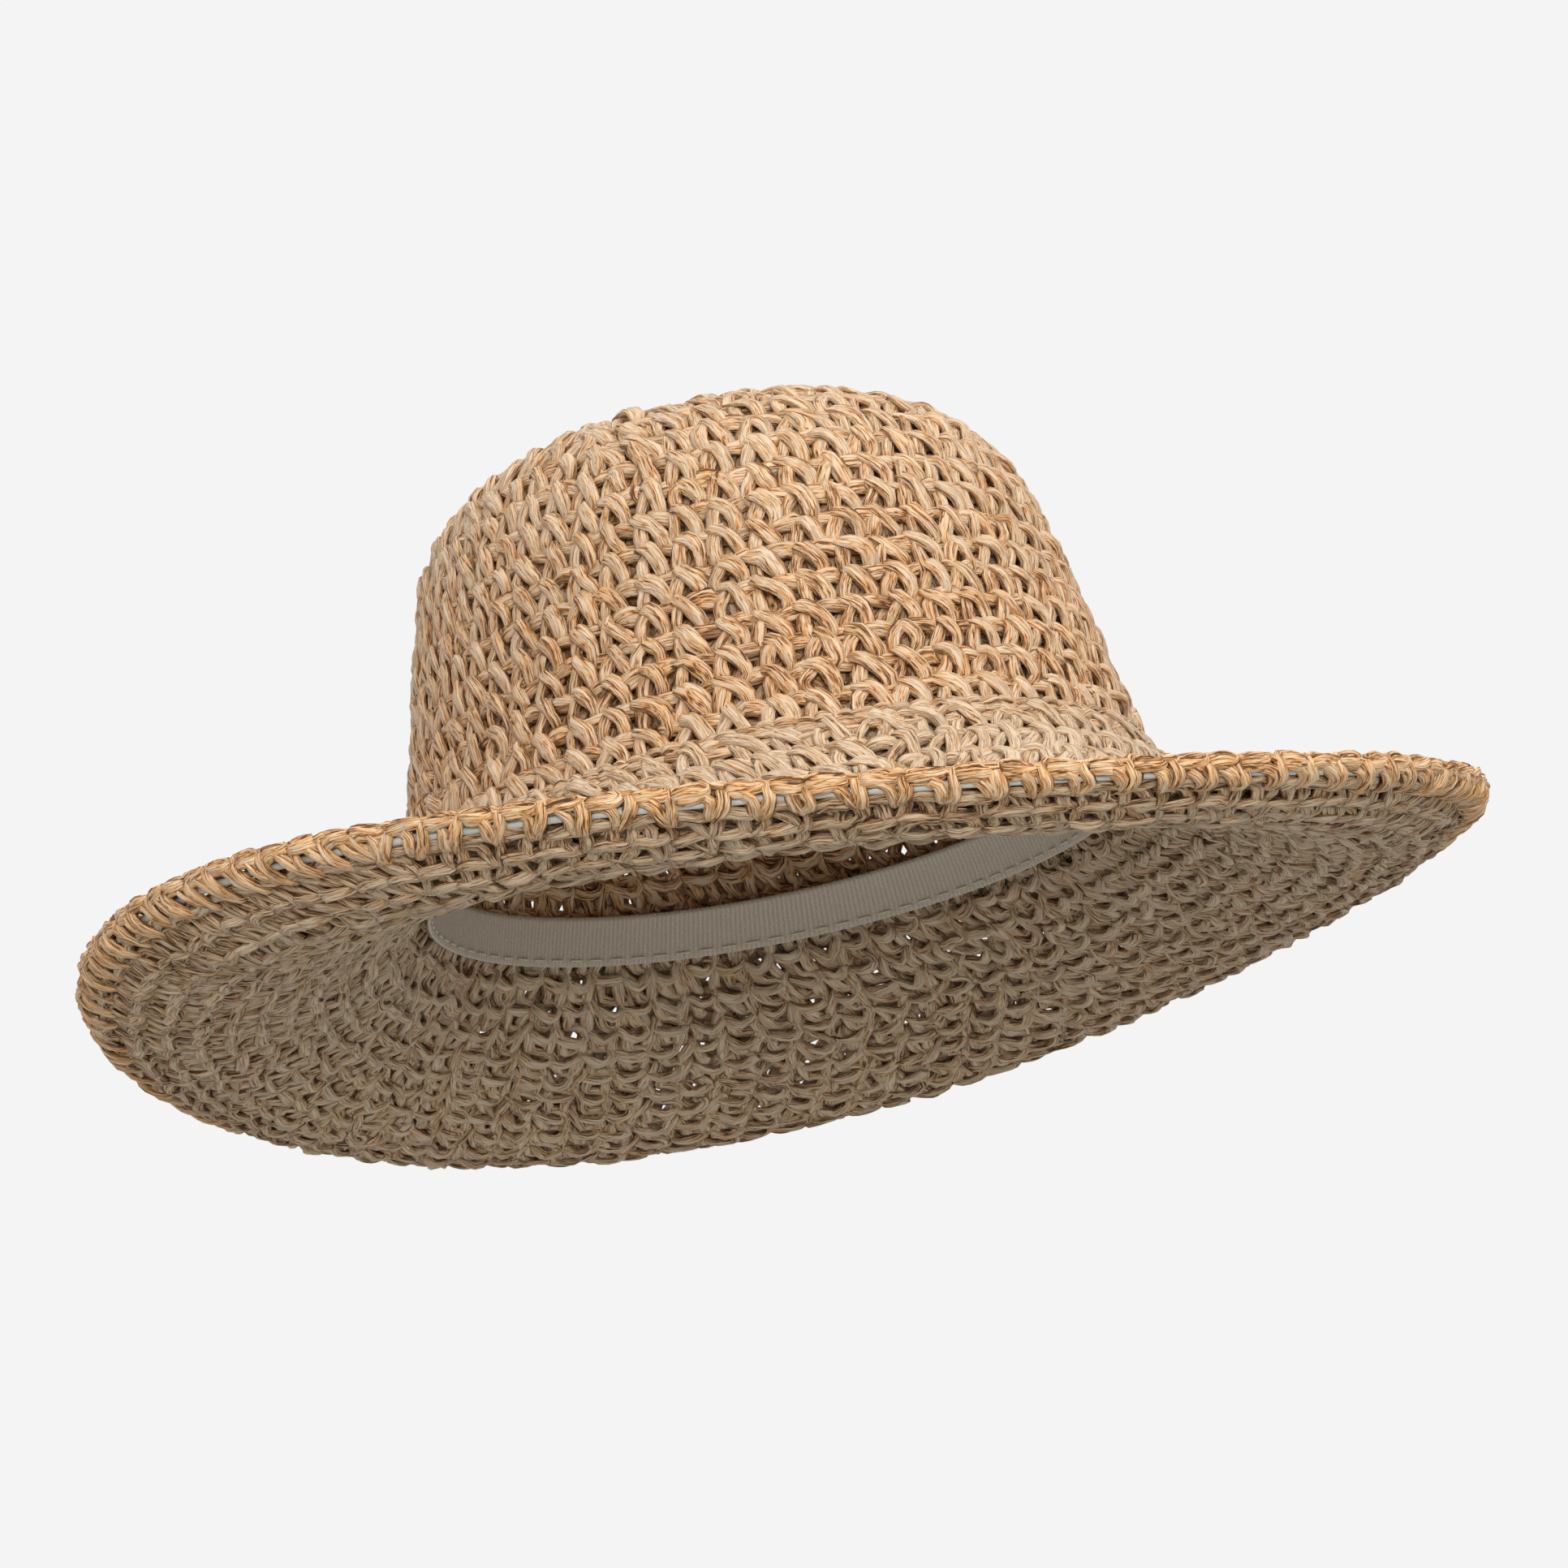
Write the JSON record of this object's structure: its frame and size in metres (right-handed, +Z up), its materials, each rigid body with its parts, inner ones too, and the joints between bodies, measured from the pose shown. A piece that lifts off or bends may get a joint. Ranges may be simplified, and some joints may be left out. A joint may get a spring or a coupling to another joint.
{
  "type": "crocheted straw sun hat",
  "caption": "Crocheted straw sun hat with an oval crown, a wide downturned brim turned up at its wired edge, and a ribbed ribbon sweatband.",
  "frame": {"origin": "centre of the head opening, in the plane of the sweatband's lower edge", "axes": "+Z up through the crown, -Y towards the front of the hat, +X towards the wearer's left"},
  "size_m": [0.3243, 0.3656, 0.1369],
  "materials": {
    "straw_crown": "twisted paper straw, crocheted, matte with a faint sheen along the folds",
    "straw_ridge": "twisted paper straw, tighter and paler round",
    "straw_brim": "twisted paper straw, crocheted, matte",
    "straw_edge": "twisted paper straw worked over the wire, a little more golden",
    "nylon_wire": "translucent grey nylon monofilament",
    "clear_sleeve": "clear shrink sleeve",
    "grosgrain": "taupe grosgrain ribbon with upright ribs",
    "sewing_thread": "taupe polyester thread"
  },
  "bodies": {
    "root": {"crown_top": "straw_crown", "crown_side_high": "straw_crown", "crown_side_low": "straw_crown", "crown_base_round": "straw_ridge", "brim": "straw_brim", "brim_edge_round": "straw_edge", "brim_wire": "nylon_wire", "wire_sleeve": "clear_sleeve", "sweatband": "grosgrain", "sweatband_stitches": "sewing_thread"}
  },
  "joints": []
}
